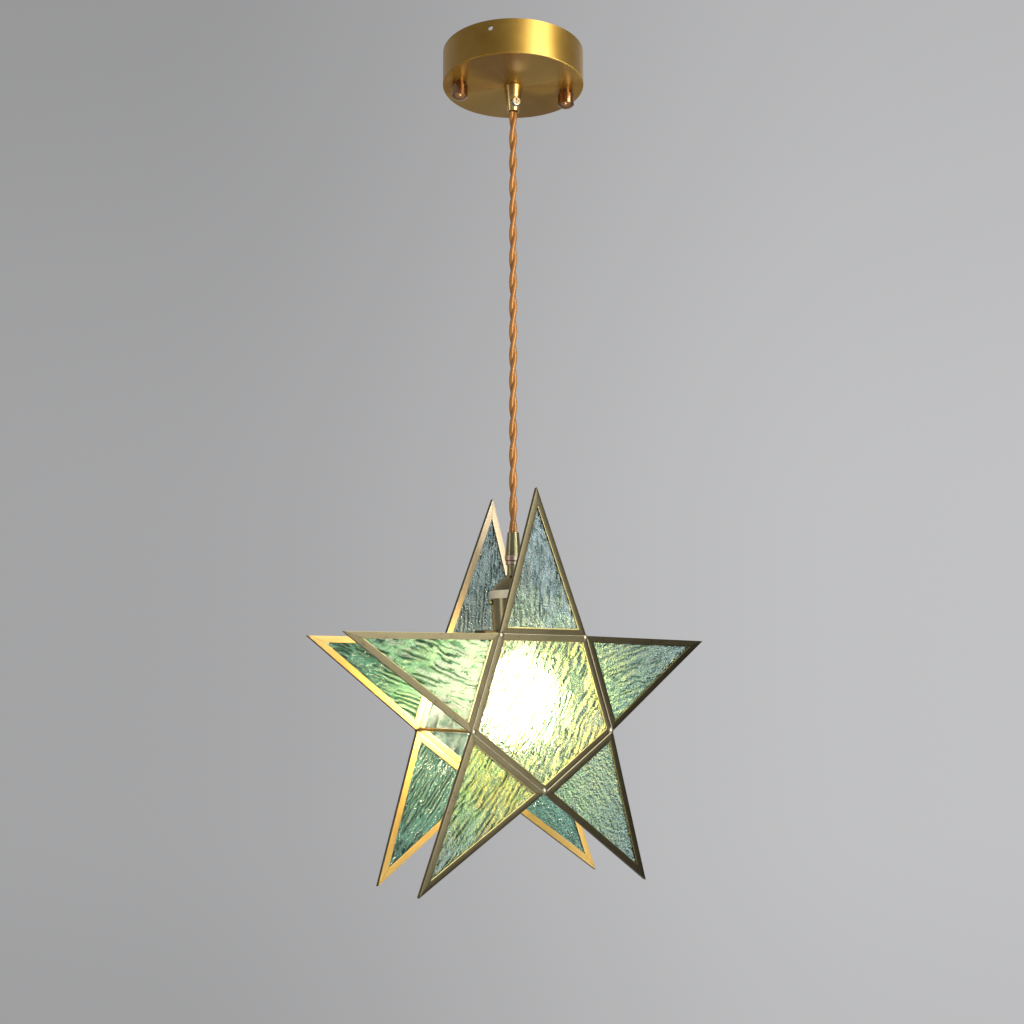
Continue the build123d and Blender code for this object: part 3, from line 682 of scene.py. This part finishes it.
def dress_fittings():
    """Lampholder with its rings, the star's bracket and rods, small brass fittings and the bulb's cap."""
    dark = turned_brass(
        "dark_brass", tint(132, 122, 88), tint(196, 182, 140), 0.22, marks=0.6, anisotropy=0.4)
    dress(dark, "lampholder_grip", "neck_tube", "socket_dome", "socket_barrel", "barrel_screw")
    # the rings' near-white, mostly matt colour stands in for the bright reflection of polished brass, a
    # painted highlight
    pale = turned_brass(
        "pale_brass_painted_shine", tint(240, 226, 196), tint(255, 250, 232), 0.34, anisotropy=0.6, metallic=0.25)
    dress(pale, "socket_ring", "shade_ring")
    rosy = turned_brass(
        "rosy_brass", tint(196, 160, 138), tint(236, 208, 186), 0.3, anisotropy=0.4, groove=collar_groove)
    dress(rosy, "locking_collar")
    dress(aged_metal("bracket_brass", tint(60, 54, 38), tint(104, 94, 68), 0.4, 90, 0.5), "shade_bracket")
    aged = aged_metal("aged_brass", tint(150, 118, 62), tint(212, 178, 110), 0.32, 110, 0.5)
    dress(aged, "spacer_rods", "grip_lock_nut", "earth_screw", "screw_shell", "centre_contact")
    plated = aged_metal("cap_metal", tint(176, 172, 160), tint(220, 216, 204), 0.3, 120, 0.3)
    dress(plated, "bulb_screw_cap")


def dress_inside():
    """Porcelain, plastics, cores and the bulb."""
    glazed = plain_finish("porcelain", tint(226, 224, 214), tint(244, 243, 236), 0.18, coat=0.6)
    dress(glazed, "porcelain_insert")
    dress(plain_finish("block_plastic", tint(206, 200, 184), tint(232, 228, 214), 0.42), "terminal_block")
    cores = plain_finish("core_plastic", tint(196, 150, 80), tint(226, 186, 116), 0.5)
    dress(cores, "canopy_lead", "lampholder_lead")
    dress(plain_finish("black_glass", tint(16, 16, 18), tint(40, 40, 44), 0.2, coat=0.5), "bulb_contact")
    dress(lit_bulb(), "bulb_globe")


# ---------------------------------------------------------------- stage
def make_world():
    """Pale grey backdrop, lighter to the right, and darker behind the camera for what is shiny."""
    world = bpy.data.worlds.new("studio")
    bpy.context.scene.world = world
    paint = Paint("studio", world)
    way = paint.node("TexCoord", out="Generated")
    across = paint.along(way, (math.cos(camera_heading), -math.sin(camera_heading), 0))
    ahead = paint.along(way, (math.sin(camera_heading), math.cos(camera_heading), 0))
    height = paint.axes(way)[2]
    level = paint.fade(across, -0.27, 0.27, backdrop_left, backdrop_right) + across * 0.04
    level = level - paint.fade(height, 0.12, 0.6, 0.0, 0.07) - paint.fade(height, -0.25, -0.08, 0.025, 0.0)
    glossy = paint.node("LightPath", out="Is Glossy Ray")
    dim = paint.fade(ahead, -0.2, 0.6, 0.6, 1.0) * paint.fade(height, -0.6, 0.05, 0.42, 1.0)
    dim = dim * paint.fade(across, 0.4, 0.8, 1.0, 0.45)
    level = level * (1 - glossy * (1 - dim))
    colour = paint.vector(level * 0.992, level * 0.994, level * 1.01)
    background = paint.node("Background", inputs=[colour, 1.0])
    paint.node("OutputWorld", inputs=[background])


def pale_floor():
    """Matt pale grey, faintly clouded, that fades at the floor's edge into the backdrop."""
    paint = Paint("pale_floor")
    place = paint.place()
    x, y, _ = paint.axes(place)
    out = (x * x + y * y) ** 0.5
    cloud = paint.noise(place, 6, 3.0, 0.6)
    colour = paint.mix(cloud, tint(196, 196, 197), tint(206, 206, 208))
    ground = paint.shader(Base_Color=colour, Roughness=0.7)
    clear = paint.node("BsdfTransparent")
    edge = paint.fade(out, floor_radius * 0.55, floor_radius * 0.98)
    return paint.finish(paint.node("MixShader", inputs=[edge, ground, clear]))


def make_floor():
    """Round floor far below the pendant."""
    mesh = bmesh.new()
    bmesh.ops.create_circle(mesh, cap_ends=True, segments=96, radius=floor_radius)
    bmesh.ops.translate(mesh, vec=(0, 0, floor_height), verts=mesh.verts)
    new_piece("floor", mesh, pale_floor())


def softbox(name, place, aim, width, height, power, colour):
    """A soft lamp at a place, facing what it aims at."""
    data = bpy.data.lights.new(name, "AREA")
    data.shape = "RECTANGLE"
    data.size, data.size_y = width, height
    data.energy = power
    data.color = colour
    lamp = bpy.data.objects.new(name, data)
    lamp.location = place
    lamp.rotation_mode = "QUATERNION"
    lamp.rotation_quaternion = (Vector(aim) - Vector(place)).to_track_quat("-Z", "Y")
    bpy.context.scene.collection.objects.link(lamp)


def make_lights():
    """A wide key lamp on the right, and a narrow dim one on the left."""
    softbox(
        "key_lamp", place=(0.30, -1.30, -0.1), aim=(0, 0, -0.25), width=0.8, height=1.7, power=22.0,
        colour=(0.96, 1.0, 0.98))
    softbox(
        "side_lamp", place=(-1.3, 0.1, -0.2), aim=(0, 0, -0.35), width=0.25, height=1.2, power=1.5,
        colour=(1.0, 0.98, 0.96))


make_camera()
twisted_cord()
make_world()
make_floor()
make_lights()
dress_star()
dress_canopy()
dress_fittings()
dress_inside()

bpy.context.scene.view_settings.view_transform = "Standard"
